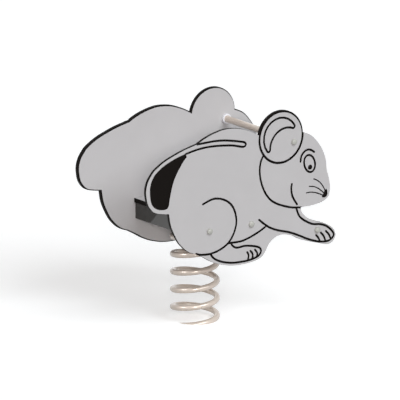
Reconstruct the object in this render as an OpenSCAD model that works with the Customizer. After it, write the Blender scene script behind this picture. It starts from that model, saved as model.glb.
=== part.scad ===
// Mouse-shaped spring rider for a playground.
// Two sheet side panels, a seat and two bars rock on one coil spring. The spring's foot is clamped
// to a base plate that is bolted to a slab below the play surface.
// X points to the mouse's head, Y to its left and Z up, from the middle of the base plate's underside.

/* [Base plate] */
// Thickness of the base plate
base_thickness = 10; // [8:1:16]
// Corner radius of the base plate
base_corner_radius = 20; // [5:1:30]
// Distance between the slab bolt holes, along X and along Y
slab_hole_spacing = 320; // [280:5:330]
// Distance from a slab bolt hole's middle to the base plate's edge
slab_hole_edge_distance = 40; // [16:1:90]
// Diameter of the slab bolt holes
slab_hole_diameter = 14; // [10:1:20]
// Diameter of the drain hole in the middle
drain_diameter = 50; // [30:2:80]

/* [Spring] */
// Outside diameter of the coil
spring_diameter = 200; // [190:1:214]
// Diameter of the spring wire
wire_diameter = 24; // [18:1:26]
// Rise of the free wire in one turn
spring_pitch = 72; // [66:1:84]
// Turns of rising wire between the flat ends
active_turns = 7.17; // [5:0.01:8.5]
// Turns of wire that lie flat at each end
flat_turns = 0.58; // [0.54:0.01:0.6]
// Turns over which the wire lifts off its flat end
lead_in_turns = 0.08; // [0.05:0.01:0.12]
// Direction of the wire's lower end, from the front
wire_start_angle = -2; // [-180:1:180]

/* [Spring clips] */
// Clips at each end of the spring
clip_count = 3; // [2:1:3]
// Angle from the wire's end to the middle of the first clip
clip_first_angle = 58; // [54:1:66]
// Angle left free between the last clip and the rising wire
clip_free_angle = 3.5; // [1:0.5:6]
// Angle that each clip covers
clip_arc = 25; // [18:1:28]
// Thickness of a clip above the wire
clip_thickness = 8; // [6:1:10]
// Width of the heel that stands on the plate
clip_heel = 10; // [8:1:16]
// Distance from the stud's middle to the heel
clip_heel_distance = 8; // [7:1:12]
// Thickness of the lip on the coil's outer side
clip_lip = 6; // [4:1:8]
// How far the lip reaches down beside the wire
clip_lip_depth = 9; // [5:1:12]
// Distance from the wire to the stud's middle
stud_distance = 16; // [14:1:20]
// Diameter of the studs
stud_diameter = 12; // [8:1:12]
// Length of stud past its nut
stud_end = 3; // [1:0.5:6]
// Width of the stud nuts across their flats
stud_nut_width = 19; // [17:0.5:20]
// Height of the stud nuts
stud_nut_height = 10; // [7:0.5:12]
// Outside diameter of the stud washers
stud_washer_diameter = 24; // [20:1:26]
// Thickness of the stud washers
stud_washer_thickness = 2.5; // [1.5:0.5:4]

/* [Seat tray] */
// Length of the tray, along X
tray_length = 262; // [244:2:300]
// Height of the tray
tray_height = 66; // [54:1:80]
// Thickness of the tray's top
tray_top = 5; // [4:0.5:8]
// Thickness of the tray's sides
tray_wall = 4; // [3:0.5:6]
// Distance from the tray's top down to the panel bolts
tray_bolt_drop = 28; // [24:1:34]
// Distance from the tray's end to the panel bolts
tray_bolt_end_distance = 29.5; // [23:0.5:51]

/* [Seat] */
// Length of the seat board, along X
seat_length = 274; // [250:2:320]
// Thickness of the seat board
seat_thickness = 19; // [15:1:25]
// Clear gap between the seat board and each panel
seat_side_gap = 1; // [0.5:0.5:3]
// Distance between the seat screws along X
seat_screw_spacing_x = 180; // [120:2:210]
// Distance between the seat screws along Y
seat_screw_spacing_y = 320; // [260:5:380]
// Diameter of the seat screws
seat_screw_diameter = 8; // [6:0.5:10]
// Depth of the seat screws in the board
seat_screw_depth = 14; // [10:0.5:14]
// Width of the seat screws' heads across their flats
seat_screw_head_width = 13; // [12:0.5:16]
// Height of the seat screws' heads
seat_screw_head_height = 5.3; // [4:0.1:7]

/* [Side panels] */
// Clear width between the two panels
panel_gap = 448; // [420:2:500]
// Thickness of the panels
panel_thickness = 19; // [15:1:25]
// Length of the mouse, tail to paw
figure_length = 919; // [850:1:980]
// Height of the mouse, sole line to ear
figure_height = 597; // [560:1:640]
// Diameter of the ear
ear_diameter = 217; // [200:1:230]
// Height of the eye
eye_height = 73; // [60:1:80]
// Width of the eye
eye_width = 51; // [42:1:58]
// Lean of the eye
eye_tilt = 19; // [0:1:30]
// Diameter of the pupil
pupil_diameter = 20; // [14:1:24]
// Width of the routed lines
groove_width = 8; // [4:0.5:10]
// Width of the routed whiskers
whisker_width = 4; // [3:0.5:5]
// Depth of the routed lines and pockets
groove_depth = 3; // [2:0.5:5]

/* [Handle and foot bar] */
// Outside diameter of the two tubes
tube_diameter = 26.9; // [25:0.1:34]
// Wall of the two tubes
tube_wall = 2.6; // [2:0.1:4]
// Gap between a tube's end and the panel
tube_end_gap = 0.2; // [0.1:0.1:0.5]
// Length of the threaded plugs in the tubes
plug_length = 32; // [26:1:50]
// Outside diameter of the collars
collar_diameter = 40; // [38:1:50]
// Width of the collars along the tube
collar_width = 12; // [8:1:20]
// Bevel at the collars' outer edge
collar_bevel = 4; // [1:0.5:5]

/* [Panel bolts] */
// Diameter of the panel bolts
bolt_diameter = 10; // [8:0.5:12]
// Diameter of the bolt heads
bolt_head_diameter = 17.5; // [16:0.5:20]
// Height of the bolt heads
bolt_head_height = 5.5; // [4:0.1:7]
// Width of the hexagon socket across its flats
bolt_socket_width = 6; // [5:0.5:8]
// Depth of the hexagon socket
bolt_socket_depth = 3; // [2:0.1:3.5]
// Length of bolt past its nut
bolt_end = 2; // [1:0.5:5]
// Depth that the tube bolts screw into their plugs
bolt_engagement = 22; // [15:1:24]
// Width of the panel bolt nuts across their flats
bolt_nut_width = 16; // [15:0.5:19]
// Height of the panel bolt nuts
bolt_nut_height = 8; // [6:0.5:10]
// Outside diameter of the panel bolt washers
bolt_washer_diameter = 20; // [18:0.5:24]
// Thickness of the panel bolt washers
bolt_washer_thickness = 2; // [1.5:0.1:3]
// Wall of the bolt caps around the bolt head
cap_wall = 3; // [2.5:0.1:6]
// Thickness of the bolt caps over the bolt head
cap_crown = 4; // [3.5:0.1:6]
// Rise of the dome on the bolt caps
cap_dome_rise = 6; // [4:0.1:7]
// Clear space between a bolt cap and its bolt head
cap_clearance = 0.75; // [0.3:0.05:1.2]
// Thickness of the base ring under a bolt cap
cap_base_thickness = 2; // [1.5:0.1:4]

/* [Fits] */
// Gap between the spring wire and what holds it
wire_gap = 0.3; // [0.2:0.05:0.6]
// Clearance around a bolt, stud or screw in a drilled hole, on each side
drill_clearance = 0.5; // [0.2:0.1:1]
// Clearance of a thread, plug or ring on what it holds, on each side
close_clearance = 0.05; // [0.02:0.01:0.1]

/* [Hidden] */

$fn = 96;
// How far a cut runs past the face that it opens
overrun = 1;
// Sides of the wire's cross-section
wire_sides = 8;
// Cross-sections of the wire in one turn
rings_per_turn = 24;
// Straight pieces between two points of a curve
curve_steps = 4;
// Straight pieces of a routed line's round end
round_end_steps = 6;
// Straight pieces of each of the crescent's arcs
arc_steps = 12;
// Straight pieces around the eye
eye_steps = 32;

// Colours of the finished pieces
sheet_colour = [0.75, 0.745, 0.75];
beige_colour = [0.75, 0.71, 0.67];
tray_colour = [0.27, 0.26, 0.25];
zinc_colour = [0.62, 0.63, 0.64];
cap_colour = [0.68, 0.68, 0.65];
collar_colour = [0.91, 0.91, 0.93];

// Side of the square base plate
base_side = slab_hole_spacing + 2 * slab_hole_edge_distance;

// Spring and what its height sets
wire_radius = wire_diameter / 2;
coil_radius = spring_diameter / 2 - wire_radius;
total_turns = active_turns + 2 * flat_turns;
wire_end_angle = wire_start_angle + 360 * total_turns;
wire_low_z = base_thickness + wire_gap + wire_radius;
spring_rise = spring_pitch * (active_turns - lead_in_turns);
tray_underside_z = wire_low_z + spring_rise + wire_radius + wire_gap;
tray_top_z = tray_underside_z + tray_top;
tray_bottom_z = tray_top_z - tray_height;
tray_bolt_z = tray_top_z - tray_bolt_drop;
// Distance between the panel bolts of one side
tray_bolt_spacing = tray_length - 2 * tray_bolt_end_distance;
ring_count = ceil(total_turns * rings_per_turn);

// Clips, measured from the plate that the wire lies on
clip_underside = wire_gap + wire_diameter + wire_gap;
clip_top = clip_underside + clip_thickness;
stud_circle_radius = coil_radius - wire_radius - stud_distance;
heel_outer_radius = stud_circle_radius - clip_heel_distance;
lip_inner_radius = coil_radius + wire_radius + 2 * wire_gap;
clip_last_angle = 360 * flat_turns - clip_free_angle - clip_arc / 2;
clip_step_angle = (clip_last_angle - clip_first_angle) / (clip_count - 1);
stud_length = clip_top + stud_washer_thickness + stud_nut_height + stud_end;

// Places on the panels
panel_outer_y = panel_gap / 2 + panel_thickness;
// Share of the mouse's length that lies behind the spring's axis
axis_share = 0.444;
// Share of the mouse's height that lies below the tray bolts
tray_bolt_share = 0.256;
figure_bottom_z = tray_bolt_z - tray_bolt_share * figure_height;
ear_radius = ear_diameter / 2;

// Lengths of the bolts under their heads
seat_bolt_length = cap_base_thickness + panel_thickness + tray_wall + bolt_washer_thickness
    + bolt_nut_height + bolt_end;
tube_bolt_length = cap_base_thickness + panel_thickness + tube_end_gap + bolt_engagement;
plug_diameter = tube_diameter - 2 * tube_wall - 2 * close_clearance;

// Bolt cap and the hollow that clears its bolt head
cap_hollow_diameter = bolt_head_diameter + 2 * cap_clearance;
cap_hollow_depth = bolt_head_height + cap_clearance;
cap_diameter = cap_hollow_diameter + 2 * cap_wall;
cap_height = cap_hollow_depth + cap_crown;

// Places as shares of the mouse's length from its tail and of its height from its sole line
handle_shares = [0.78, 0.77];
foot_bar_shares = [0.903, 0.14];
ear_shares = [0.713, 0.817];
eye_shares = [0.864, 0.602];
// Place of the pupil, as shares of the eye's width and height from its middle
pupil_shares = [0.05, -0.21];

// The mouse's outline, clockwise from under the tail
tail_shares = [
    [0.12, 0.42], [0.08, 0.43], [0.04, 0.45], [0.01, 0.505], [0, 0.57], [0, 0.615], [0.01, 0.665],
    [0.03, 0.71], [0.05, 0.74], [0.1, 0.785], [0.15, 0.815], [0.2, 0.84], [0.27, 0.865],
];
back_shares = [
    [0.27, 0.865], [0.31, 0.895], [0.36, 0.92], [0.42, 0.935], [0.48, 0.927], [0.53, 0.905],
    [0.58, 0.87], [0.61, 0.84],
];
head_shares = [
    [0.81, 0.835], [0.85, 0.812], [0.88, 0.785], [0.91, 0.735], [0.935, 0.675], [0.95, 0.61],
    [0.955, 0.54], [0.965, 0.49], [0.972, 0.43], [0.97, 0.385], [0.96, 0.35], [0.93, 0.326],
    [0.88, 0.314], [0.82, 0.312],
];
arm_and_foot_shares = [
    [0.82, 0.312], [0.82, 0.285], [0.85, 0.235], [0.89, 0.205], [0.94, 0.178], [0.98, 0.143],
    [1, 0.1], [0.998, 0.065], [0.98, 0.035], [0.95, 0.03], [0.9, 0.052], [0.82, 0.09],
    [0.77, 0.13], [0.72, 0.148], [0.68, 0.136], [0.65, 0.1], [0.63, 0.052], [0.61, 0.018],
    [0.57, -0.002], [0.5, -0.01], [0.44, -0.003], [0.38, 0.021], [0.34, 0.048], [0.3, 0.084], [0.26, 0.116],
];
rump_shares = [
    [0.26, 0.116], [0.23, 0.133], [0.2, 0.165], [0.168, 0.22], [0.14, 0.3], [0.128, 0.35], [0.122, 0.4],
    [0.12, 0.42],
];

// The dark pocket between tail and rump: its tail side, then its rump side
pocket_tail_shares = [
    [0.21, 0.815], [0.16, 0.795], [0.1, 0.76], [0.05, 0.71], [0.025, 0.65], [0.02, 0.58], [0.03, 0.505],
    [0.06, 0.465], [0.1, 0.455], [0.115, 0.465],
];
pocket_rump_shares = [[0.12, 0.48], [0.128, 0.55], [0.148, 0.65], [0.189, 0.75], [0.213, 0.79]];

// Middles of the routed lines
line_shares = [
    // Tail across the back
    [
        [0.27, 0.865], [0.31, 0.866], [0.36, 0.867], [0.41, 0.861], [0.46, 0.847], [0.5, 0.833],
        [0.519, 0.824], [0.527, 0.81], [0.52, 0.796], [0.504, 0.797], [0.46, 0.815], [0.41, 0.826],
        [0.36, 0.833], [0.31, 0.834], [0.26, 0.827], [0.21, 0.813],
    ],
    // Haunch
    [
        [0.3, 0.448], [0.36, 0.473], [0.42, 0.448], [0.46, 0.39], [0.477, 0.3], [0.465, 0.22],
        [0.435, 0.155], [0.39, 0.117], [0.34, 0.1], [0.29, 0.104], [0.262, 0.117],
    ],
    // Belly
    [[0.435, 0.152], [0.5, 0.15], [0.55, 0.168], [0.6, 0.197], [0.635, 0.226]],
    // Arm and paw
    [
        [0.597, 0.275], [0.63, 0.234], [0.66, 0.205], [0.7, 0.18], [0.75, 0.158], [0.8, 0.127],
        [0.85, 0.09], [0.9, 0.062], [0.94, 0.051], [0.97, 0.055], [0.99, 0.08], [0.985, 0.11],
        [0.955, 0.152], [0.92, 0.174], [0.88, 0.184], [0.84, 0.215], [0.81, 0.253], [0.794, 0.31],
    ],
    // Rear foot
    [
        [0.448, 0.15], [0.46, 0.125], [0.48, 0.111], [0.52, 0.114], [0.56, 0.105], [0.595, 0.088],
        [0.607, 0.062], [0.593, 0.03], [0.55, 0.013], [0.5, 0.009], [0.45, 0.014], [0.4, 0.032],
        [0.36, 0.062], [0.338, 0.1],
    ],
    // Neck and chin
    [
        [0.62, 0.712], [0.606, 0.67], [0.6, 0.61], [0.607, 0.535], [0.625, 0.465], [0.65, 0.41],
        [0.68, 0.374], [0.72, 0.346], [0.77, 0.322], [0.82, 0.311],
    ],
    // Cheek
    [[0.77, 0.482], [0.767, 0.445], [0.774, 0.395], [0.797, 0.338]],
    // Brow
    [[0.816, 0.626], [0.82, 0.66], [0.835, 0.688], [0.855, 0.699], [0.873, 0.692], [0.888, 0.676]],
    // Toes of the paw
    [[0.898, 0.104], [0.91, 0.083], [0.917, 0.06]],
    [[0.923, 0.115], [0.938, 0.09], [0.947, 0.055]],
    [[0.95, 0.12], [0.966, 0.093], [0.975, 0.06]],
    // Toes of the rear foot
    [[0.534, 0.068], [0.541, 0.045], [0.538, 0.014]],
    [[0.551, 0.073], [0.563, 0.048], [0.561, 0.017]],
    [[0.575, 0.076], [0.587, 0.05], [0.585, 0.024]],
];
whisker_line_shares = [
    [[0.886, 0.492], [0.91, 0.472], [0.93, 0.441], [0.945, 0.402]],
    [[0.862, 0.445], [0.89, 0.437], [0.915, 0.416], [0.938, 0.385]],
    [[0.847, 0.405], [0.875, 0.403], [0.905, 0.39], [0.933, 0.37]],
];
nose_shares = [[0.95, 0.41], [0.957, 0.393], [0.957, 0.37], [0.948, 0.354], [0.93, 0.358], [0.936, 0.38]];

// The crescent in the ear lies between two circles of one size and has round tips.
// Its sizes and the circles' middles are shares of the ear's radius.
crescent_radius_share = 0.74;
crescent_tip_share = 0.07;
crescent_outer_shares = [-0.03, -0.01];
crescent_inner_shares = [0.25, -0.42];

// Turns a place given in shares into millimetres along X and Z
function place(shares) = [
    (shares.x - axis_share) * figure_length,
    figure_bottom_z + shares.y * figure_height,
];
function places(list) = [for (shares = list) place(shares)];

// One point of a smooth curve between b and c, with a and d as its neighbours
function curve_point(a, b, c, d, t) =
    b + ((c - a) * t + (2 * a - 5 * b + 4 * c - d) * t * t + (3 * b - a - 3 * c + d) * t * t * t) / 2;
function open_curve(p) = let (last = len(p) - 1) concat(
    [
        for (i = [0:last - 1], k = [0:curve_steps - 1])
            curve_point(p[max(i - 1, 0)], p[i], p[i + 1], p[min(i + 2, last)], k / curve_steps)
    ],
    [p[last]]
);
function closed_curve(p) = let (n = len(p)) [
    for (i = [0:n - 1], k = [0:curve_steps - 1])
        curve_point(p[(i + n - 1) % n], p[i], p[(i + 1) % n], p[(i + 2) % n], k / curve_steps)
];
function without_last(p) = [for (i = [0:len(p) - 2]) p[i]];
function reversed(p) = [for (i = [len(p) - 1:-1:0]) p[i]];
function unit(v) = v / norm(v);
function left_of(v) = [-v.y, v.x];

// Direction of a line at one of its points
function open_direction(p, i) = unit(p[min(i + 1, len(p) - 1)] - p[max(i - 1, 0)]);
function closed_direction(p, i) = unit(p[(i + 1) % len(p)] - p[(i + len(p) - 1) % len(p)]);

// Points beside a line, a distance to its left
function beside(p, distance) = [for (i = [0:len(p) - 1]) p[i] + distance * left_of(open_direction(p, i))];
function around(p, distance) = [for (i = [0:len(p) - 1]) p[i] + distance * left_of(closed_direction(p, i))];

// Round end of a line: a half circle from the left of a direction to its right
function round_end(middle, direction, radius) = [
    for (k = [1:round_end_steps - 1])
        let (turn = 180 * k / round_end_steps)
        middle + radius * (cos(turn) * left_of(direction) + sin(turn) * direction)
];

// Points of an arc, its last one left out
function arc(middle, radius, from, to) = [
    for (k = [0:arc_steps - 1])
        let (turn = from + (to - from) * k / arc_steps)
        middle + radius * [cos(turn), sin(turn)]
];
// Direction of a vector, from 0 to 360 degrees
function heading(v) = (atan2(v.y, v.x) + 360) % 360;

eye_points = [
    for (k = [0:eye_steps - 1])
        let (
            turn = 360 * k / eye_steps,
            along = sin(turn) * eye_height / 2,
            across = cos(turn) * eye_width / 2
        )
        place(eye_shares) + [
            across * cos(eye_tilt) - along * sin(eye_tilt),
            across * sin(eye_tilt) + along * cos(eye_tilt),
        ]
];

// The crescent's loop: over the outer circle, round one tip, back along the inner circle, round the other.
// Each tip touches the outer circle from inside and the inner circle from outside.
crescent_points =
    let (
        outer = place(ear_shares) + crescent_outer_shares * ear_radius,
        inner = place(ear_shares) + crescent_inner_shares * ear_radius,
        radius = crescent_radius_share * ear_radius,
        tip_radius = crescent_tip_share * ear_radius,
        apart = norm(inner - outer),
        along = ((radius - tip_radius) ^ 2 - (radius + tip_radius) ^ 2 + apart ^ 2) / (2 * apart),
        across = sqrt((radius - tip_radius) ^ 2 - along ^ 2),
        toward = unit(inner - outer),
        front_tip = outer + along * toward + across * left_of(toward),
        low_tip = outer + along * toward - across * left_of(toward)
    )
    concat(
        arc(outer, radius, heading(low_tip - outer), heading(front_tip - outer)),
        arc(front_tip, tip_radius, heading(front_tip - outer), heading(front_tip - inner) - 180),
        arc(inner, radius, heading(front_tip - inner), heading(low_tip - inner)),
        arc(low_tip, tip_radius, heading(low_tip - inner) + 180, heading(low_tip - outer))
    );
pupil_place = place(eye_shares) + [pupil_shares.x * eye_width, pupil_shares.y * eye_height];
outline_points = concat(
    without_last(open_curve(places(tail_shares))),
    without_last(open_curve(places(back_shares))),
    without_last(open_curve(places(head_shares))),
    without_last(open_curve(places(arm_and_foot_shares))),
    without_last(open_curve(places(rump_shares)))
);

// Height of the wire's middle: flat, easing into the pitch, then easing flat again
function eased(turns) =
    turns <= 0 ? 0
    : turns < lead_in_turns ? turns * turns / (2 * lead_in_turns)
    : turns - lead_in_turns / 2;
function wire_z(turns) = wire_low_z
    + spring_pitch * (eased(turns - flat_turns) - eased(turns - flat_turns - active_turns + lead_in_turns));
function wire_middle(turns) = let (angle = wire_start_angle + 360 * turns)
    [coil_radius * cos(angle), coil_radius * sin(angle), wire_z(turns)];
function wire_ring(i) =
    let (
        turns = total_turns * i / ring_count,
        angle = wire_start_angle + 360 * turns,
        out = [cos(angle), sin(angle), 0],
        reach = total_turns / ring_count / 2,
        along = unit(wire_middle(turns + reach) - wire_middle(turns - reach)),
        up = cross(out, along)
    )
    [
        for (k = [0:wire_sides - 1])
            let (turn = 360 * k / wire_sides)
            wire_middle(turns) + wire_radius * (cos(turn) * out + sin(turn) * unit(up))
    ];
wire_middles = [for (i = [0:ring_count]) wire_middle(total_turns * i / ring_count)];
half_turn_rings = ceil(rings_per_turn / 2);
least_turn_gap = min([
    for (i = [0:ring_count - half_turn_rings], j = [i + half_turn_rings:ring_count])
        norm(wire_middles[j] - wire_middles[i])
]) - wire_diameter;
echo(str("Least gap between the spring's turns: ", least_turn_gap, " mm"));

// A line of one width with round ends
module stroke(p, width) {
    last = len(p) - 1;
    radius = width / 2;
    polygon(concat(
        beside(p, radius),
        round_end(p[last], open_direction(p, last), radius),
        reversed(beside(p, -radius)),
        round_end(p[0], -open_direction(p, 0), radius)
    ));
}

// A line of one width along a closed loop
module loop_stroke(p, width) {
    difference() {
        polygon(around(p, -width / 2));
        polygon(around(p, width / 2));
    }
}

// The sheet that a panel is cut from, lying flat
module sheet_blank() {
    linear_extrude(panel_thickness)
        polygon(outline_points);
    translate(place(ear_shares))
        cylinder(r = ear_radius, h = panel_thickness);
}

module routed_shape() {
    for (line = line_shares)
        stroke(open_curve(places(line)), groove_width);
    for (line = whisker_line_shares)
        stroke(open_curve(places(line)), whisker_width);
    polygon(concat(open_curve(places(pocket_tail_shares)), open_curve(places(pocket_rump_shares))));
    polygon(closed_curve(places(nose_shares)));
    translate(pupil_place)
        circle(d = pupil_diameter);
    loop_stroke(eye_points, groove_width);
    loop_stroke(reversed(crescent_points), groove_width);
    translate(place(ear_shares))
        difference() {
            circle(r = ear_radius + overrun);
            circle(r = ear_radius - groove_width);
        }
}

// Puts a shape of the X-Z plane on the right panel, rising outwards from a height above its inner face
module upright(height) {
    translate([0, -panel_gap / 2 - height, 0])
        rotate([90, 0, 0])
            children();
}

// Puts children on the outer face of both panels, with Z pointing outwards
module on_both_panels(spot) {
    for (side = [-1, 1])
        translate([spot.x, side * panel_outer_y, spot.y])
            rotate([-90 * side, 0, 0])
                children();
}

module at_tray_bolts() {
    for (end = [-1, 1])
        on_both_panels([end * tray_bolt_spacing / 2, tray_bolt_z])
            children();
}

module at_handle() {
    on_both_panels(place(handle_shares))
        children();
}

module at_foot_bar() {
    on_both_panels(place(foot_bar_shares))
        children();
}

module at_seat_screws() {
    for (x = [-1, 1], y = [-1, 1])
        translate([x * seat_screw_spacing_x / 2, y * seat_screw_spacing_y / 2, tray_underside_z])
            children();
}

// Puts children on the base plate or under the tray, with the wire's end at angle zero
module at_lower_end() {
    translate([0, 0, base_thickness])
        rotate(wire_start_angle)
            children();
}

module at_upper_end() {
    translate([0, 0, tray_underside_z])
        rotate(wire_end_angle)
            rotate([180, 0, 0])
                children();
}

module at_clips() {
    for (i = [0:clip_count - 1])
        rotate(clip_first_angle + i * clip_step_angle)
            children();
}

module ring(outer_diameter, inner_diameter, height) {
    difference() {
        cylinder(d = outer_diameter, h = height);
        translate([0, 0, -overrun])
            cylinder(d = inner_diameter, h = height + 2 * overrun);
    }
}

module hexagon(width, height) {
    cylinder(d = width / cos(30), h = height, $fn = 6);
}

module nut(width, height, thread_diameter) {
    difference() {
        hexagon(width, height);
        translate([0, 0, -overrun])
            cylinder(d = thread_diameter + 2 * close_clearance, h = height + 2 * overrun);
    }
}

module clip_studs() {
    at_clips()
        translate([stud_circle_radius, 0, 0])
            cylinder(d = stud_diameter, h = stud_length);
}

module clips() {
    heel_inner_radius = heel_outer_radius - clip_heel;
    lip_outer_radius = lip_inner_radius + clip_lip;
    lip_z = clip_underside - clip_lip_depth;
    at_clips()
        difference() {
            rotate(-clip_arc / 2)
                rotate_extrude(angle = clip_arc)
                    polygon([
                        [heel_inner_radius, 0],
                        [heel_outer_radius, 0],
                        [heel_outer_radius, clip_underside],
                        [lip_inner_radius, clip_underside],
                        [lip_inner_radius, lip_z],
                        [lip_outer_radius, lip_z],
                        [lip_outer_radius, clip_top],
                        [heel_inner_radius, clip_top],
                    ]);
            translate([stud_circle_radius, 0, -overrun])
                cylinder(d = stud_diameter + 2 * drill_clearance, h = clip_top + 2 * overrun);
        }
}

module clip_washers() {
    at_clips()
        translate([stud_circle_radius, 0, clip_top])
            ring(stud_washer_diameter, stud_diameter + 2 * drill_clearance, stud_washer_thickness);
}

module clip_nuts() {
    at_clips()
        translate([stud_circle_radius, 0, clip_top + stud_washer_thickness])
            nut(stud_nut_width, stud_nut_height, stud_diameter);
}

// A button-head bolt whose head sits on a cap's base ring
module panel_bolt(length) {
    translate([0, 0, cap_base_thickness])
        difference() {
            union() {
                cylinder(d = bolt_head_diameter, h = bolt_head_height);
                translate([0, 0, -length])
                    cylinder(d = bolt_diameter, h = length);
            }
            translate([0, 0, bolt_head_height - bolt_socket_depth])
                hexagon(bolt_socket_width, bolt_socket_depth + overrun);
        }
}

// A tube from panel to panel at a place in the X-Z plane
module cross_tube(spot) {
    length = panel_gap - 2 * tube_end_gap;
    translate([spot.x, length / 2, spot.y])
        rotate([90, 0, 0])
            ring(tube_diameter, tube_diameter - 2 * tube_wall, length);
}

module tube_plug() {
    translate([0, 0, -panel_thickness - tube_end_gap - plug_length])
        ring(plug_diameter, bolt_diameter + 2 * close_clearance, plug_length);
}

module tube_collar() {
    translate([0, 0, -panel_thickness - collar_width])
        difference() {
            union() {
                cylinder(d1 = collar_diameter - 2 * collar_bevel, d2 = collar_diameter, h = collar_bevel);
                translate([0, 0, collar_bevel])
                    cylinder(d = collar_diameter, h = collar_width - collar_bevel);
            }
            translate([0, 0, -overrun])
                cylinder(d = tube_diameter + 2 * close_clearance, h = collar_width + 2 * overrun);
        }
}

module bolt_cap() {
    dome_radius = ((cap_diameter / 2) ^ 2 + cap_dome_rise ^ 2) / (2 * cap_dome_rise);
    translate([0, 0, cap_base_thickness])
        difference() {
            intersection() {
                cylinder(d = cap_diameter, h = cap_height);
                translate([0, 0, cap_height - dome_radius])
                    sphere(r = dome_radius);
            }
            translate([0, 0, -overrun])
                cylinder(d = cap_hollow_diameter, h = cap_hollow_depth + overrun);
        }
}

module drill(diameter, depth) {
    translate([0, 0, -depth])
        cylinder(d = diameter, h = depth + overrun);
}

// The right panel, with its routed face outwards
module side_panel() {
    hole_diameter = bolt_diameter + 2 * drill_clearance;
    hole_depth = panel_thickness + overrun;
    difference() {
        upright(0)
            sheet_blank();
        upright(panel_thickness - groove_depth)
            linear_extrude(groove_depth + overrun)
                routed_shape();
        at_tray_bolts()
            drill(hole_diameter, hole_depth);
        at_handle()
            drill(hole_diameter, hole_depth);
        at_foot_bar()
            drill(hole_diameter, hole_depth);
    }
}

module base_plate() {
    corner_place = base_side / 2 - base_corner_radius;
    color(zinc_colour)
        difference() {
            linear_extrude(base_thickness)
                union() {
                    square([base_side, 2 * corner_place], center = true);
                    square([2 * corner_place, base_side], center = true);
                    for (x = [-1, 1], y = [-1, 1])
                        translate([x * corner_place, y * corner_place])
                            circle(r = base_corner_radius);
                }
            translate([0, 0, -overrun])
                cylinder(d = drain_diameter, h = base_thickness + 2 * overrun);
            for (x = [-1, 1], y = [-1, 1])
                translate([x * slab_hole_spacing / 2, y * slab_hole_spacing / 2, -overrun])
                    cylinder(d = slab_hole_diameter, h = base_thickness + 2 * overrun);
        }
}

module lower_clip_studs() {
    color(zinc_colour)
        at_lower_end()
            clip_studs();
}

module lower_spring_clips() {
    color(zinc_colour)
        at_lower_end()
            clips();
}

module lower_clip_washers() {
    color(zinc_colour)
        at_lower_end()
            clip_washers();
}

module lower_clip_nuts() {
    color(zinc_colour)
        at_lower_end()
            clip_nuts();
}

module coil_spring() {
    rings = [for (i = [0:ring_count]) each wire_ring(i)];
    end_ring = ring_count * wire_sides;
    sides = [
        for (i = [0:ring_count - 1], k = [0:wire_sides - 1])
            let (
                a = i * wire_sides + k,
                b = i * wire_sides + (k + 1) % wire_sides
            )
            each [[a, b, b + wire_sides], [a, b + wire_sides, a + wire_sides]]
    ];
    ends = [
        for (k = [1:wire_sides - 2])
            each [[0, k + 1, k], [end_ring, end_ring + k, end_ring + k + 1]]
    ];
    color(beige_colour)
        polyhedron(rings, concat(sides, ends));
}

module seat_tray() {
    color(tray_colour)
        difference() {
            translate([-tray_length / 2, -panel_gap / 2, tray_bottom_z])
                cube([tray_length, panel_gap, tray_height]);
            translate([tray_wall - tray_length / 2, tray_wall - panel_gap / 2, tray_bottom_z - overrun])
                cube([
                    tray_length - 2 * tray_wall,
                    panel_gap - 2 * tray_wall,
                    tray_underside_z - tray_bottom_z + overrun,
                ]);
            at_tray_bolts()
                drill(bolt_diameter + 2 * drill_clearance, panel_thickness + tray_wall + overrun);
            at_seat_screws()
                translate([0, 0, -overrun])
                    cylinder(d = seat_screw_diameter + 2 * drill_clearance, h = tray_top + 2 * overrun);
        }
}

module upper_clip_studs() {
    color(zinc_colour)
        at_upper_end()
            clip_studs();
}

module upper_spring_clips() {
    color(zinc_colour)
        at_upper_end()
            clips();
}

module upper_clip_washers() {
    color(zinc_colour)
        at_upper_end()
            clip_washers();
}

module upper_clip_nuts() {
    color(zinc_colour)
        at_upper_end()
            clip_nuts();
}

module seat_board() {
    seat_width = panel_gap - 2 * seat_side_gap;
    hole_depth = tray_top + seat_screw_depth + drill_clearance;
    color(sheet_colour)
        difference() {
            translate([-seat_length / 2, -seat_width / 2, tray_top_z])
                cube([seat_length, seat_width, seat_thickness]);
            at_seat_screws()
                cylinder(d = seat_screw_diameter + 2 * close_clearance, h = hole_depth);
        }
}

module seat_screws() {
    color(zinc_colour)
        at_seat_screws() {
            cylinder(d = seat_screw_diameter, h = tray_top + seat_screw_depth);
            translate([0, 0, -seat_screw_head_height])
                hexagon(seat_screw_head_width, seat_screw_head_height);
        }
}

module right_panel() {
    color(sheet_colour)
        side_panel();
}

module left_panel() {
    color(sheet_colour)
        mirror([0, 1, 0])
            side_panel();
}

module handle_tube() {
    color(beige_colour)
        cross_tube(place(handle_shares));
}

module handle_plugs() {
    color(zinc_colour)
        at_handle()
            tube_plug();
}

module handle_collars() {
    color(collar_colour)
        at_handle()
            tube_collar();
}

module handle_bolts() {
    color(zinc_colour)
        at_handle()
            panel_bolt(tube_bolt_length);
}

module foot_bar() {
    color(beige_colour)
        cross_tube(place(foot_bar_shares));
}

module foot_bar_plugs() {
    color(zinc_colour)
        at_foot_bar()
            tube_plug();
}

module foot_bar_collars() {
    color(collar_colour)
        at_foot_bar()
            tube_collar();
}

module foot_bar_bolts() {
    color(zinc_colour)
        at_foot_bar()
            panel_bolt(tube_bolt_length);
}

module seat_bolts() {
    color(zinc_colour)
        at_tray_bolts()
            panel_bolt(seat_bolt_length);
}

module seat_bolt_washers() {
    color(zinc_colour)
        at_tray_bolts()
            translate([0, 0, -panel_thickness - tray_wall - bolt_washer_thickness])
                ring(bolt_washer_diameter, bolt_diameter + 2 * drill_clearance, bolt_washer_thickness);
}

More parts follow.
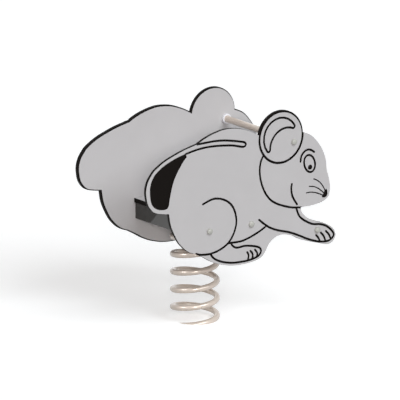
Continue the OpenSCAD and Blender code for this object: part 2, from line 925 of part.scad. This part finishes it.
module seat_bolt_nuts() {
    color(zinc_colour)
        at_tray_bolts()
            translate([0, 0, -panel_thickness - tray_wall - bolt_washer_thickness - bolt_nut_height])
                nut(bolt_nut_width, bolt_nut_height, bolt_diameter);
}

module at_all_bolts() {
    at_tray_bolts()
        children();
    at_handle()
        children();
    at_foot_bar()
        children();
}

module bolt_cap_bases() {
    color(cap_colour)
        at_all_bolts()
            ring(cap_diameter, bolt_diameter + 2 * drill_clearance, cap_base_thickness);
}

module bolt_caps() {
    color(cap_colour)
        at_all_bolts()
            bolt_cap();
}

base_plate();
lower_clip_studs();
lower_spring_clips();
lower_clip_washers();
lower_clip_nuts();
coil_spring();
seat_tray();
upper_clip_studs();
upper_spring_clips();
upper_clip_washers();
upper_clip_nuts();
seat_board();
seat_screws();
right_panel();
left_panel();
handle_tube();
handle_plugs();
handle_collars();
handle_bolts();
foot_bar();
foot_bar_plugs();
foot_bar_collars();
foot_bar_bolts();
seat_bolts();
seat_bolt_washers();
seat_bolt_nuts();
bolt_cap_bases();
bolt_caps();
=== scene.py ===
"""Looks of a mouse-shaped playground spring rider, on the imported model's frame, in metres."""
import math

import bmesh
import bpy
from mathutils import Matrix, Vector


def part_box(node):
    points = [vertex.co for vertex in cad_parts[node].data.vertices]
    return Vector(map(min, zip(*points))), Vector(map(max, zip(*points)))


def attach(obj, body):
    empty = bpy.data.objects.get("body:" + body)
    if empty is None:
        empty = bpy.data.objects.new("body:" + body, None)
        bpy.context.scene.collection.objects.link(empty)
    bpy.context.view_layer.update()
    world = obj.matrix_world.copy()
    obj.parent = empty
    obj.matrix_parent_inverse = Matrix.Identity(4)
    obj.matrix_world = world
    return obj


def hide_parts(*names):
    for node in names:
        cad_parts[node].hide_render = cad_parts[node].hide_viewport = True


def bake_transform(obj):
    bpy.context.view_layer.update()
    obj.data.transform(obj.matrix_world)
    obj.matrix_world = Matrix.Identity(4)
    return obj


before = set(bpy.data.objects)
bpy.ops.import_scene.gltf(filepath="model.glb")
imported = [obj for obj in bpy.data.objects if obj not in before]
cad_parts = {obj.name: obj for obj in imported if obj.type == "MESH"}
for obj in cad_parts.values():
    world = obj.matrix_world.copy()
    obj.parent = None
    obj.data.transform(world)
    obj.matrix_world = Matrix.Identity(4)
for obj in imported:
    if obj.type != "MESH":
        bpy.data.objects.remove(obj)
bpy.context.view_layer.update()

# Height of the play surface, which hides the anchor
GROUND = 0.100
# Thickness of the sheet's grey skins over its black core
SKIN = 0.0004
# Edges that turn by more than this are cut edges, and get a small round
CUT_EDGE = math.radians(40)
# Faces that meet at more than this are shaded apart
CREASE = math.radians(20)
# Faces with more than this area, in square metres, are flat ones
WIDE_FACE = 0.002
# Points that are no further apart than this lie in one place or one plane
TOUCHING = 1e-5
# Width of the chamfer round a panel's inner face, and the share of it on the panel's other cut edges
CHAMFER = 0.005
BREAK_SHARE = 0.16
# Distance from a bolt's middle within which the panel has no chamfer
BOLT_CLEARANCE = 0.012
# Corners of the routed lines that are narrower than this, with a side that is shorter than this, are
# too sharp for a break
SHARP = math.radians(100)
SHORT_SIDE = 0.002
# Distance from a sharp corner within which the routed lines' edges aren't broken
CORNER_CLEARANCE = 0.003
# Width of the tubes' collars along the tube, and radius of their shoulders
COLLAR_WIDTH = 0.012
COLLAR_SHOULDER = 0.0028
# Share of a bolt cap's height that is its straight skirt
SKIRT_SHARE = 0.25


def middle(node):
    """Middle of a CAD node's box."""
    low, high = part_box(node)
    return (low + high) / 2


# Where bolts go through the panels, along X and up Z: two at the tray, one at each tube.
# The foremost nut reaches half its width across corners past its bolt.
nut_low, nut_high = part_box("seat_bolt_nuts")
tray_bolt_x = nut_high.x - (nut_high.z - nut_low.z) / 2 / math.cos(math.radians(30))
BOLTS = [(x, middle("seat_bolt_nuts").z) for x in (-tray_bolt_x, tray_bolt_x)]
BOLTS += [(middle(tube).x, middle(tube).z) for tube in ("handle_tube", "foot_bar")]

# The spring's wire, as the CAD model winds it
COIL_RADIUS = 0.088
WIRE_RADIUS = 0.012
PITCH = 0.072
LOW_TURN_HEIGHT = 0.0223
ACTIVE_TURNS = 7.17
FLAT_TURNS = 0.58
LEAD_IN_TURNS = 0.08
START_ANGLE = math.radians(-2)
TURNS = ACTIVE_TURNS + 2 * FLAT_TURNS
RISE = PITCH * (ACTIVE_TURNS - LEAD_IN_TURNS)
RINGS_PER_TURN = 56


def linear(hex_colour):
    """An sRGB hex colour as the linear RGBA that a shader takes."""
    channels = [int(hex_colour[i:i + 2], 16) / 255 for i in (0, 2, 4)]
    return [c / 12.92 if c <= 0.04045 else ((c + 0.055) / 1.055) ** 2.4 for c in channels] + [1.0]


def add(tree, kind, inputs=(), **settings):
    """Adds a node. Its inputs, in order or by name, are values, sockets or other nodes."""
    node = tree.nodes.new(kind)
    for setting, value in settings.items():
        setattr(node, setting, value)
    usable = [socket for socket in node.inputs if socket.enabled]
    for key, value in (inputs.items() if isinstance(inputs, dict) else enumerate(inputs)):
        socket = usable[key] if isinstance(key, int) else next(s for s in usable if s.name == key)
        if isinstance(value, bpy.types.Node):
            value = next(s for s in value.outputs if s.enabled)
        if isinstance(value, bpy.types.NodeSocket):
            tree.links.new(value, socket)
        else:
            socket.default_value = value
    return node


# Materials

def per_metre(millimetres):
    """Texture scale at which one cell of a pattern is that many millimetres wide."""
    return 1000 / millimetres


def new_finish(name, **values):
    """A material whose shader has these values all over, and what its patterns are laid out on."""
    material = bpy.data.materials.new(name)
    material.use_nodes = True
    tree = material.node_tree
    shader = tree.nodes["Principled BSDF"]
    for socket, value in values.items():
        shader.inputs[socket.replace("_", " ")].default_value = value
    return material, tree, shader, add(tree, "ShaderNodeTexCoord").outputs["Object"]


def dress(tree, shader, colour, pattern, roughness, relief, depth):
    """Gives a shader its colour, a roughness that follows a pattern, and a relief of a depth in metres."""
    # Most of a noise pattern lies between 0.3 and 0.7
    rough = add(tree, "ShaderNodeMapRange", {
        "Value": pattern, "From Min": 0.3, "From Max": 0.7, "To Min": roughness[0], "To Max": roughness[1],
    })
    bump = add(tree, "ShaderNodeBump", {"Height": relief, "Distance": depth})
    for result, socket in ((colour, "Base Color"), (rough, "Roughness"), (bump, "Normal")):
        tree.links.new(next(s for s in result.outputs if s.enabled), shader.inputs[socket])


def layered_polyethylene(name, axis, middle_place, half_core):
    """Coextruded polyethylene sheet: matt grey skins, pressed with a fine grain, over a black core.
    The core shows wherever a cutter went through the skin, so edges and routed lines are black."""
    material, tree, shader, place = new_finish(name, IOR=1.52, Specular_IOR_Level=0.06)
    # Distance from the middle of the sheet, on either side of the rider
    along = add(tree, "ShaderNodeSeparateXYZ", [place]).outputs[axis]
    side = add(tree, "ShaderNodeMath", [along], operation="ABSOLUTE")
    offset = add(tree, "ShaderNodeMath", [side, middle_place], operation="SUBTRACT")
    depth = add(tree, "ShaderNodeMath", [offset], operation="ABSOLUTE")
    core = add(tree, "ShaderNodeMath", [depth, half_core], operation="LESS_THAN")
    # Faint clouds in the grey, a hand wide, from the pigment's flow
    flow = add(tree, "ShaderNodeTexNoise", {"Vector": place, "Scale": per_metre(90), "Detail": 3.0})
    grey = add(
        tree, "ShaderNodeMix", {"Factor": flow, "A": linear("bebcbd"), "B": linear("c4c2c3")},
        data_type="RGBA")
    # Streaks that the cutter leaves in the core, drawn at 3 mm because the real ones are finer
    streaks = add(tree, "ShaderNodeTexNoise", {"Vector": place, "Scale": per_metre(3)})
    black = add(
        tree, "ShaderNodeMix", {"Factor": streaks, "A": linear("0a0706"), "B": linear("110d0a")},
        data_type="RGBA")
    colour = add(tree, "ShaderNodeMix", {"Factor": core, "A": grey, "B": black}, data_type="RGBA")
    # The pressed grain is about 1 mm wide and is drawn at 2.5 mm to show
    grain = add(tree, "ShaderNodeTexNoise", {"Vector": place, "Scale": per_metre(2.5)})
    dress(tree, shader, colour, grain, (0.46, 0.58), grain, 0.00004)
    return material


def powder_coat(name, low, high, roughness, **values):
    """Baked powder paint on steel: a closed, even film with a soft orange-peel ripple under its gloss."""
    material, tree, shader, place = new_finish(name, IOR=1.5, **values)
    # Slow change of the film and of handling marks, about 60 mm wide
    film = add(tree, "ShaderNodeTexNoise", {"Vector": place, "Scale": per_metre(60), "Detail": 4.0})
    colour = add(
        tree, "ShaderNodeMix", {"Factor": film, "A": linear(low), "B": linear(high)}, data_type="RGBA")
    # Ripple of the melted powder, about 2 mm from crest to crest, drawn at 4 mm to show
    ripple = add(tree, "ShaderNodeTexNoise", {"Vector": place, "Scale": per_metre(4)})
    dress(tree, shader, colour, film, roughness, ripple, 0.00005)
    return material


def galvanised_steel():
    """Hot-dip galvanised steel: dull zinc crystals, each a slightly different grey, on a softly wavy skin."""
    material, tree, shader, place = new_finish("hot_dip_galvanised_steel", Metallic=0.9)
    # Zinc crystals about 9 mm across
    crystals = add(tree, "ShaderNodeTexVoronoi", {"Vector": place, "Scale": per_metre(9)})
    tone = add(tree, "ShaderNodeSeparateColor", [crystals.outputs["Color"]])
    colour = add(
        tree, "ShaderNodeMix", {"Factor": tone, "A": linear("9a9ea1"), "B": linear("b9bcbe")},
        data_type="RGBA")
    # Waves that the zinc froze in, about 14 mm apart
    waves = add(tree, "ShaderNodeTexNoise", {"Vector": place, "Scale": per_metre(14), "Detail": 3.0})
    dress(tree, shader, colour, tone, (0.44, 0.58), waves, 0.0001)
    return material


def zinc_plate(name):
    """Bright zinc-plated steel: a thin, slightly blue film with a faint haze."""
    material, tree, shader, place = new_finish(name, Metallic=1.0)
    # Haze of the bath, about 8 mm wide
    haze = add(tree, "ShaderNodeTexNoise", {"Vector": place, "Scale": per_metre(8), "Detail": 3.0})
    colour = add(
        tree, "ShaderNodeMix", {"Factor": haze, "A": linear("a3a7ad"), "B": linear("c3c5c6")},
        data_type="RGBA")
    dress(tree, shader, colour, haze, (0.24, 0.4), haze, 0.00003)
    return material


def zinc_thread(name, thread_pitch):
    """Zinc-plated thread along Z: bright crests between roots that are darkened with painted shade."""
    material, tree, shader, place = new_finish(name, Metallic=1.0)
    along = add(tree, "ShaderNodeSeparateXYZ", [place]).outputs["Z"]
    turn = add(
        tree, "ShaderNodeMath", [along, 2 * math.pi * per_metre(thread_pitch)], operation="MULTIPLY")
    wave = add(tree, "ShaderNodeMath", [turn], operation="SINE")
    # From 0 at the roots to 1 at the crests
    crest = add(tree, "ShaderNodeMath", [wave, 0.5, 0.5], operation="MULTIPLY_ADD")
    # Painted shade: the roots are coloured darker than the crests, standing in for the shade in the thread's
    # grooves
    colour = add(
        tree, "ShaderNodeMix", {"Factor": crest, "A": linear("7c7f84"), "B": linear("c3c5c6")},
        data_type="RGBA")
    dress(tree, shader, colour, crest, (0.45, 0.28), crest, 0.0006)
    return material


def moulded_plastic(name, low, high, roughness):
    """Moulded plastic: an even colour with faint flow clouds and the mould's fine spark-eroded grain."""
    material, tree, shader, place = new_finish(name, IOR=1.5)
    # Flow clouds about 12 mm wide
    flow = add(tree, "ShaderNodeTexNoise", {"Vector": place, "Scale": per_metre(12)})
    colour = add(
        tree, "ShaderNodeMix", {"Factor": flow, "A": linear(low), "B": linear(high)}, data_type="RGBA")
    # The mould's grain is about 0.3 mm wide and is drawn at 1 mm to show
    grain = add(tree, "ShaderNodeTexNoise", {"Vector": place, "Scale": per_metre(1)})
    dress(tree, shader, colour, grain, roughness, grain, 0.00001)
    return material


panel_low, panel_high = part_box("left_panel")
seat_low, seat_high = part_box("seat_board")
FINISHES = {
    "panel_sheet": layered_polyethylene(
        "polyethylene_sheet_panels", "Y", (panel_low.y + panel_high.y) / 2,
        (panel_high.y - panel_low.y) / 2 - SKIN),
    "seat_sheet": layered_polyethylene(
        "polyethylene_sheet_seat", "Z", (seat_low.z + seat_high.z) / 2,
        (seat_high.z - seat_low.z) / 2 - SKIN),
    # Metal flakes in the beige paint give it bright, broad highlights
    "beige_paint": powder_coat(
        "beige_metallic_powder_coat", "d1c3b6", "dbcec2", (0.26, 0.34), Metallic=0.25, Coat_Weight=0.6,
        Coat_Roughness=0.1),
    "dark_paint": powder_coat(
        "dark_powder_coat", "272724", "2f2d2a", (0.4, 0.52), Specular_IOR_Level=0.1, Coat_Weight=1.0,
        Coat_Roughness=0.06),
    "galvanised": galvanised_steel(),
    "zinc": zinc_plate("bright_zinc_plate"),
    "zinc_thread": zinc_thread("bright_zinc_thread", 1.75),
    "cap_plastic": moulded_plastic("moulded_cap_plastic", "aeaea8", "b6b6b0", (0.42, 0.54)),
    "collar_plastic": moulded_plastic("moulded_collar_plastic", "e4e4ea", "ededf1", (0.2, 0.3)),
}


# Pieces cut, bent or drawn from stock: the CAD shapes with their edges rounded

def new_piece(name, mesh, slot, finish, *nodes, body=None):
    """Puts a finished mesh in the scene as a piece that stands for CAD nodes and rides on a body."""
    piece = bpy.data.objects.new(name, mesh)
    bpy.context.scene.collection.objects.link(piece)
    mesh.materials.clear()
    mesh.materials.append(FINISHES[finish])
    if body:
        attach(piece, body)
    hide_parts(*nodes)
    return piece


def holder_of(mesh):
    """An object that carries a mesh while a modifier works on it."""
    holder = bpy.data.objects.new(mesh.name, mesh)
    bpy.context.scene.collection.objects.link(holder)
    return holder


def plain_mesh(holder):
    """The mesh that a holder's modifier makes, smooth between its creases. The holder is removed."""
    graph = bpy.context.evaluated_depsgraph_get()
    mesh = bpy.data.meshes.new_from_object(holder.evaluated_get(graph), depsgraph=graph)
    bpy.data.objects.remove(holder)
    mesh.shade_smooth()
    mesh.set_sharp_from_angle(angle=CREASE)
    return mesh


def merged(node, distance=1e-6):
    """A copy of a CAD node's mesh as joined faces: points this near merged and flat faces made whole."""
    bm = bmesh.new()
    bm.from_mesh(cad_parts[node].data)
    bmesh.ops.remove_doubles(bm, verts=bm.verts, dist=distance)
    bmesh.ops.dissolve_limit(bm, angle_limit=math.radians(0.2), verts=bm.verts, edges=bm.edges)
    return bm


def is_cut(edge):
    """Whether an edge is one that a saw, cutter or press left."""
    return len(edge.link_faces) == 2 and edge.calc_face_angle(0) > CUT_EDGE


def rounded(bm, name, radius, share_of_edge, profile=0.5):
    """A mesh with its edges rounded, each by its share of a radius. A profile of 0.5 is a round and
    one of 0.25 a chamfer."""
    weights = bm.edges.layers.float.new("bevel_weight_edge")
    for edge in bm.edges:
        edge[weights] = share_of_edge(edge)
    mesh = bpy.data.meshes.new(name)
    bm.to_mesh(mesh)
    bm.free()
    # The CAD mesh's own normals don't suit the rounded shape
    mesh.attributes.remove(mesh.attributes["custom_normal"])
    holder = holder_of(mesh)
    bevel = holder.modifiers.new("Rounds", "BEVEL")
    bevel.limit_method = "WEIGHT"
    bevel.width = radius
    bevel.segments = 2
    bevel.profile = profile
    bevel.use_clamp_overlap = False
    bevel.loop_slide = False
    mesh = plain_mesh(holder)
    # Wide faces are flat, and stay so beside their rounds
    for face in mesh.polygons:
        face.use_smooth = face.area < WIDE_FACE
    return mesh


def is_near(edge, places, distance):
    """Whether an end of an edge lies within a distance of one of some places, along X and up Z."""
    return any(math.hypot(end.co.x - x, end.co.z - z) < distance for end in edge.verts for x, z in places)


def side_panel(node):
    """A panel with a chamfer round its inner face, and its other cut edges broken but for sharp corners."""
    low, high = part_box(node)
    inner_face, outer_face = (high.y, low.y) if low.y < 0 else (low.y, high.y)
    # Points nearer than 0.3 mm are too near for a break between them
    bm = merged(node, 0.0003)
    # Corners where routed lines meet stay as they are, because a break would fold over there
    corners = []
    for vert in bm.verts:
        rims = [
            edge.other_vert(vert).co - vert.co for edge in vert.link_edges
            if is_cut(edge) and all(abs(end.co.y - outer_face) < TOUCHING for end in edge.verts)
        ]
        is_corner = len(rims) == 2 and rims[0].angle(rims[1]) < SHARP
        if is_corner and min(rim.length for rim in rims) < SHORT_SIDE:
            corners.append((vert.co.x, vert.co.z))

    def share_of_edge(edge):
        # Faces that stand square to the sheet
        walls = [face for face in edge.link_faces if abs(face.normal.y) < 0.5]
        if not is_cut(edge) or len(walls) != 1:
            return 0.0
        is_inner = abs(edge.verts[0].co.y - inner_face) < TOUCHING
        if is_inner and not is_near(edge, BOLTS, BOLT_CLEARANCE):
            return 1.0
        return 0.0 if is_near(edge, corners, CORNER_CLEARANCE) else BREAK_SHARE

    return rounded(bm, node + "_sheet", CHAMFER, share_of_edge, profile=0.25)


for node in ("right_panel", "left_panel"):
    new_piece(node + "_sheet", side_panel(node), "layered_sheet", "panel_sheet", node, body="rider")

# Node, body, slot, finish and edge radius
for node, body, slot, finish, radius in (
    ("seat_board", "rider", "layered_sheet", "seat_sheet", 0.001),
    ("seat_tray", "rider", "dark_powder_coat", "dark_paint", 0.0012),
    ("base_plate", "anchor", "galvanised_steel", "galvanised", 0.0008),
    ("lower_spring_clips", "anchor", "galvanised_steel", "galvanised", 0.0008),
    ("upper_spring_clips", "rider", "galvanised_steel", "galvanised", 0.0008),
    ("lower_clip_nuts", "anchor", "zinc_fasteners", "zinc", 0.0005),
    ("upper_clip_nuts", "rider", "zinc_fasteners", "zinc", 0.0005),
    ("seat_bolt_nuts", "rider", "zinc_fasteners", "zinc", 0.0005),
    ("lower_clip_studs", "anchor", "zinc_fasteners", "zinc_thread", 0.0006),
    ("upper_clip_studs", "rider", "zinc_fasteners", "zinc_thread", 0.0006),
    ("handle_tube", "rider", "beige_powder_coat", "beige_paint", 0.0004),
    ("foot_bar", "rider", "beige_powder_coat", "beige_paint", 0.0004),
    ("bolt_cap_bases", "rider", "cap_plastic", "cap_plastic", 0.0004),
):
    mesh = rounded(merged(node), node + "_rounded", radius, is_cut)
    new_piece(node + "_rounded", mesh, slot, finish, node, body=body)

# CAD nodes that are mostly out of sight and keep their own shape
for node in (
    "lower_clip_washers", "upper_clip_washers", "seat_screws", "handle_plugs", "handle_bolts",
    "foot_bar_plugs", "foot_bar_bolts", "seat_bolts", "seat_bolt_washers",
):
    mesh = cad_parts[node].data
    mesh.materials.clear()
    mesh.materials.append(FINISHES["zinc"])


# Pieces that Geometry Nodes make

def new_tree(name, sockets):
    """A Geometry Nodes tree with named inputs. Returns the tree, its inputs and their identifiers."""
    tree = bpy.data.node_groups.new(name, "GeometryNodeTree")
    identifiers = {}
    for label, kind in sockets.items():
        socket = tree.interface.new_socket(label, in_out="INPUT", socket_type="NodeSocket" + kind)
        identifiers[label] = socket.identifier
    tree.interface.new_socket("Piece", in_out="OUTPUT", socket_type="NodeSocketGeometry")
    return tree, add(tree, "NodeGroupInput").outputs, identifiers


def close_tree(tree, geometry, finish):
    """Ends a tree: real geometry in its finish."""
    real = add(tree, "GeometryNodeRealizeInstances", [geometry])
    dressed = add(tree, "GeometryNodeSetMaterial", {"Geometry": real, "Material": finish})
    add(tree, "NodeGroupOutput", [dressed])


def grown(name, tree, identifiers, values, points=()):
    """The plain mesh that a tree makes with these values on the given points."""
    mesh = bpy.data.meshes.new(name)
    mesh.from_pydata(points, [], [])
    holder = holder_of(mesh)
    growth = holder.modifiers.new("Growth", "NODES")
    growth.node_group = tree
    for label, value in values.items():
        growth[identifiers[label]] = value
    return plain_mesh(holder)


def spring_wire_tree():
    """Round wire wound on a cylinder, flat at both ends and climbing between them."""
    tree, given, identifiers = new_tree("spring_wire", {
        "Coil radius": "Float", "Wire radius": "Float", "First turn": "Float", "Last turn": "Float",
        "Start angle": "Float", "Climb starts": "Float", "Climb ends": "Float", "Lowest": "Float",
        "Highest": "Float", "Rings": "Int", "Sides": "Int", "Finish": "Material",
    })
    turns = add(tree, "ShaderNodeMapRange", {
        "Value": add(tree, "GeometryNodeInputIndex"), "From Min": 0.0, "From Max": given["Rings"],
        "To Min": given["First turn"], "To Max": given["Last turn"],
    })
    angle = add(tree, "ShaderNodeMath", [turns, 2 * math.pi, given["Start angle"]], operation="MULTIPLY_ADD")
    height = add(tree, "ShaderNodeMapRange", {
        "Value": turns, "From Min": given["Climb starts"], "From Max": given["Climb ends"],
        "To Min": given["Lowest"], "To Max": given["Highest"],
    })
    start = add(tree, "ShaderNodeCombineXYZ", {"X": given["Coil radius"], "Z": height})
    place = add(tree, "ShaderNodeVectorRotate", {"Vector": start, "Angle": angle}, rotation_type="Z_AXIS")
    points = add(tree, "ShaderNodeMath", [given["Rings"], 1.0], operation="ADD")
    line = add(tree, "GeometryNodeMeshLine", {"Count": points})
    wound = add(tree, "GeometryNodeSetPosition", {"Geometry": line, "Position": place})
    path = add(tree, "GeometryNodeMeshToCurve", [wound])
    section = add(tree, "GeometryNodeCurvePrimitiveCircle", {
        "Resolution": given["Sides"], "Radius": given["Wire radius"],
    })
    wire = add(tree, "GeometryNodeCurveToMesh", {"Curve": path, "Profile Curve": section, "Fill Caps": True})
    close_tree(tree, wire, given["Finish"])
    return tree, identifiers


# The spring is made in two halves: name, first and last turn, bodies, and the heights between which
# it bends
wire_tree, wire_inputs = spring_wire_tree()
for name, first, last, bodies, bend_start, bend_end in (
    ("spring_lower_half", 0.0, TURNS / 2, ("anchor", "spring"), 0.038, 0.268),
    ("spring_upper_half", TURNS / 2, TURNS, ("spring", "rider"), 0.287, 0.513),
):
    mesh = grown(name, wire_tree, wire_inputs, {
        "Coil radius": COIL_RADIUS, "Wire radius": WIRE_RADIUS, "First turn": first, "Last turn": last,
        "Start angle": START_ANGLE, "Climb starts": FLAT_TURNS + LEAD_IN_TURNS / 2,
        "Climb ends": TURNS - FLAT_TURNS - LEAD_IN_TURNS / 2, "Lowest": LOW_TURN_HEIGHT,
        "Highest": LOW_TURN_HEIGHT + RISE, "Rings": round((last - first) * RINGS_PER_TURN), "Sides": 24,
        "Finish": FINISHES["beige_paint"],
    })
    half = new_piece(name, mesh, "beige_powder_coat", "beige_paint", "coil_spring")
    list(bodies)
    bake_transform(half)


def bolt_caps_tree():
    """A snap-on cap on every bolt, facing out from its panel: a short skirt under a round dome."""
    tree, given, identifiers = new_tree("bolt_caps", {
        "Bolts": "Geometry", "Radius": "Float", "Skirt": "Float", "Dome": "Float", "Finish": "Material",
    })
    ball = add(tree, "GeometryNodeMeshUVSphere", {"Segments": 48, "Rings": 24, "Radius": 1.0})
    here = add(tree, "ShaderNodeSeparateXYZ", [add(tree, "GeometryNodeInputPosition")]).outputs
    # The ball's upper half becomes the dome, and its lower half the cap's flat foot
    above = add(tree, "ShaderNodeMath", [here["Z"], -0.01], operation="GREATER_THAN")
    domed = add(tree, "ShaderNodeMath", [here["Z"], given["Dome"], given["Skirt"]], operation="MULTIPLY_ADD")
    height = add(tree, "ShaderNodeMath", [above, domed], operation="MULTIPLY")
    reach_x = add(tree, "ShaderNodeMath", [here["X"], given["Radius"]], operation="MULTIPLY")
    reach_y = add(tree, "ShaderNodeMath", [here["Y"], given["Radius"]], operation="MULTIPLY")
    place = add(tree, "ShaderNodeCombineXYZ", [reach_x, reach_y, height])
    cap = add(tree, "GeometryNodeSetPosition", {"Geometry": ball, "Position": place})
    side = add(tree, "ShaderNodeMath", [here["Y"]], operation="SIGN")
    outward = add(tree, "ShaderNodeCombineXYZ", {"Y": side})
    facing = add(tree, "FunctionNodeAlignRotationToVector", {"Vector": outward}, axis="Z")
    capped = add(tree, "GeometryNodeInstanceOnPoints", {
        "Points": given["Bolts"], "Instance": cap, "Rotation": facing,
    })
    close_tree(tree, capped, given["Finish"])
    return tree, identifiers


cap_foot, cap_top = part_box("bolt_cap_bases")[1].y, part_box("bolt_caps")[1]
cap_height = cap_top.y - cap_foot
cap_tree, cap_inputs = bolt_caps_tree()
cap_mesh = grown("bolt_caps_domed", cap_tree, cap_inputs, {
    "Radius": cap_top.x - middle("foot_bar").x, "Skirt": SKIRT_SHARE * cap_height,
    "Dome": (1 - SKIRT_SHARE) * cap_height, "Finish": FINISHES["cap_plastic"],
}, [(x, side * cap_foot, z) for side in (-1, 1) for x, z in BOLTS])
new_piece("bolt_caps_domed", cap_mesh, "cap_plastic", "cap_plastic", "bolt_caps", body="rider")


def tube_collars_tree():
    """A moulded ring with rounded shoulders round the tube at every point, square to the panels."""
    tree, given, identifiers = new_tree("tube_collars", {
        "Ends": "Geometry", "Middle radius": "Float", "Wall": "Float", "Width": "Float", "Shoulder": "Float",
        "Finish": "Material",
    })
    hoop = add(tree, "GeometryNodeCurvePrimitiveCircle", {"Resolution": 64, "Radius": given["Middle radius"]})
    block = add(tree, "GeometryNodeCurvePrimitiveQuadrilateral", {
        "Width": given["Wall"], "Height": given["Width"],
    })
    section = add(tree, "GeometryNodeFilletCurve", {
        "Curve": block, "Count": 6, "Radius": given["Shoulder"],
    }, mode="POLY")
    ring = add(tree, "GeometryNodeCurveToMesh", {"Curve": hoop, "Profile Curve": section})
    fitted = add(tree, "GeometryNodeInstanceOnPoints", {
        "Points": given["Ends"], "Instance": ring, "Rotation": (math.pi / 2, 0.0, 0.0),
    })
    close_tree(tree, fitted, given["Finish"])
    return tree, identifiers


collar_tree, collar_inputs = tube_collars_tree()
for node, tube in (("handle_collars", "handle_tube"), ("foot_bar_collars", "foot_bar")):
    low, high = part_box(node)
    tube_low, tube_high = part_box(tube)
    inner_radius, outer_radius = (tube_high.z - tube_low.z) / 2, (high.z - low.z) / 2
    ends = [(middle(tube).x, side * (high.y - COLLAR_WIDTH / 2), middle(tube).z) for side in (-1, 1)]
    mesh = grown(node + "_moulded", collar_tree, collar_inputs, {
        "Middle radius": (inner_radius + outer_radius) / 2, "Wall": outer_radius - inner_radius,
        "Width": COLLAR_WIDTH, "Shoulder": COLLAR_SHOULDER, "Finish": FINISHES["collar_plastic"],
    }, ends)
    new_piece(node + "_moulded", mesh, "collar_plastic", "collar_plastic", node, body="rider")


# Stage

def seen(tree):
    """1 for rays from the camera or from a shiny surface, and 0 for the rays that light the rider."""
    ray = add(tree, "ShaderNodeLightPath").outputs
    shiny = add(
        tree, "ShaderNodeMath", [ray["Is Glossy Ray"], ray["Is Transmission Ray"]], operation="MAXIMUM")
    return add(tree, "ShaderNodeMath", [ray["Is Camera Ray"], shiny], operation="MAXIMUM")


def white_floor():
    """The play surface: white to the camera, with the rider's soft shadow on it."""
    reach = 30.0
    corners = [
        (-reach, -reach, GROUND), (reach, -reach, GROUND), (reach, reach, GROUND), (-reach, reach, GROUND),
    ]
    mesh = bpy.data.meshes.new("studio_floor")
    mesh.from_pydata(corners, [], [(0, 1, 2, 3)])
    material = bpy.data.materials.new("white_studio_floor")
    material.use_nodes = True
    tree = material.node_tree
    tree.nodes.clear()
    in_sight = seen(tree)
    # Throws less light up at the rider than the eye gets, so undersides stay dark
    colour = add(
        tree, "ShaderNodeMix", {"Factor": in_sight, "A": linear("a0a0a0"), "B": linear("eeeeee")},
        data_type="RGBA")
    matt = add(tree, "ShaderNodeBsdfDiffuse", {"Color": colour})
    # Lifts the floor to white where it is seen or mirrored, and so keeps the shadow pale
    lift = add(tree, "ShaderNodeMath", [in_sight, 0.36], operation="MULTIPLY")
    glow = add(tree, "ShaderNodeEmission", {"Strength": lift})
    white = add(tree, "ShaderNodeAddShader", [matt, glow])
    add(tree, "ShaderNodeOutputMaterial", {"Surface": white})
    mesh.materials.append(material)
    floor = bpy.data.objects.new("studio_floor", mesh)
    # Lets light through to the buried anchor
    floor.visible_shadow = False
    bpy.context.scene.collection.objects.link(floor)


def pale_sky():
    """A studio sky that is white to the eye and lights the rider mostly from above."""
    world = bpy.data.worlds.new("studio_sky")
    bpy.context.scene.world = world
    world.use_nodes = True
    tree = world.node_tree
    tree.nodes.clear()
    direction = add(tree, "ShaderNodeTexCoord").outputs["Generated"]
    up = add(tree, "ShaderNodeSeparateXYZ", [direction]).outputs["Z"]
    glow = add(tree, "ShaderNodeMapRange", {"Value": up, "To Min": 0.03, "To Max": 0.38})
    strength = add(tree, "ShaderNodeMix", {"Factor": seen(tree), "A": glow, "B": 1.0}, data_type="FLOAT")
    sky = add(tree, "ShaderNodeBackground", {"Color": (1.0, 1.0, 1.0, 1.0), "Strength": strength})
    add(tree, "ShaderNodeOutputWorld", {"Surface": sky})


def lamp(name, towards, energy, spread, colour=(1.0, 1.0, 1.0)):
    """A far lamp that shines from a direction, as wide in the sky as its spread in degrees."""
    light = bpy.data.lights.new(name, "SUN")
    light.energy = energy
    light.color = colour
    light.angle = math.radians(spread)
    holder = bpy.data.objects.new(name, light)
    holder.rotation_euler = towards.to_track_quat("Z", "Y").to_euler()
    bpy.context.scene.collection.objects.link(holder)
    return holder


def camera(back):
    """A view without perspective, from a direction."""
    turn = (-back).to_track_quat("-Z", "Y")
    # Where the picture's middle lies from the spring's foot, to the right and up
    aim = Vector((0, 0, GROUND)) + turn @ Vector((0.0204, 0.4710, 0))
    lens = bpy.data.cameras.new("camera")
    lens.type = "ORTHO"
    # Width of the picture
    lens.ortho_scale = 1.587
    holder = bpy.data.objects.new("camera", lens)
    holder.location = aim + 5 * back
    holder.rotation_euler = turn.to_euler()
    bpy.context.scene.collection.objects.link(holder)
    bpy.context.scene.camera = holder


# From the mouse's right, a little behind it
azimuth, elevation = math.radians(-35.3), math.radians(14.1)
level = math.cos(elevation)
viewer = Vector((math.sin(azimuth) * level, -math.cos(azimuth) * level, math.sin(elevation)))
camera(viewer)
white_floor()
pale_sky()
# A cool and a warm lamp: grey where both shine, and warmer where the first one is in shadow
lamp("key_lamp", Vector((0.03, -0.8, 0.6)), 1.72, 36, (0.955, 1.0, 1.03))
lamp("fill_lamp", viewer, 1.32, 12, (1.0, 0.95, 0.92))
# Lights the sides that the camera doesn't see, and adds no shadow or highlight
back = lamp("back_lamp", Vector((0.45, 0.8, 0.35)), 1.1, 30)
back.data.use_shadow = False
back.visible_glossy = False
# Adds highlights to the spring and the tubes, and no other light
lamp("highlight_lamp", Vector((-0.88, 0.12, 0.46)), 1.15, 20).visible_diffuse = False
bpy.context.scene.view_settings.view_transform = "Standard"
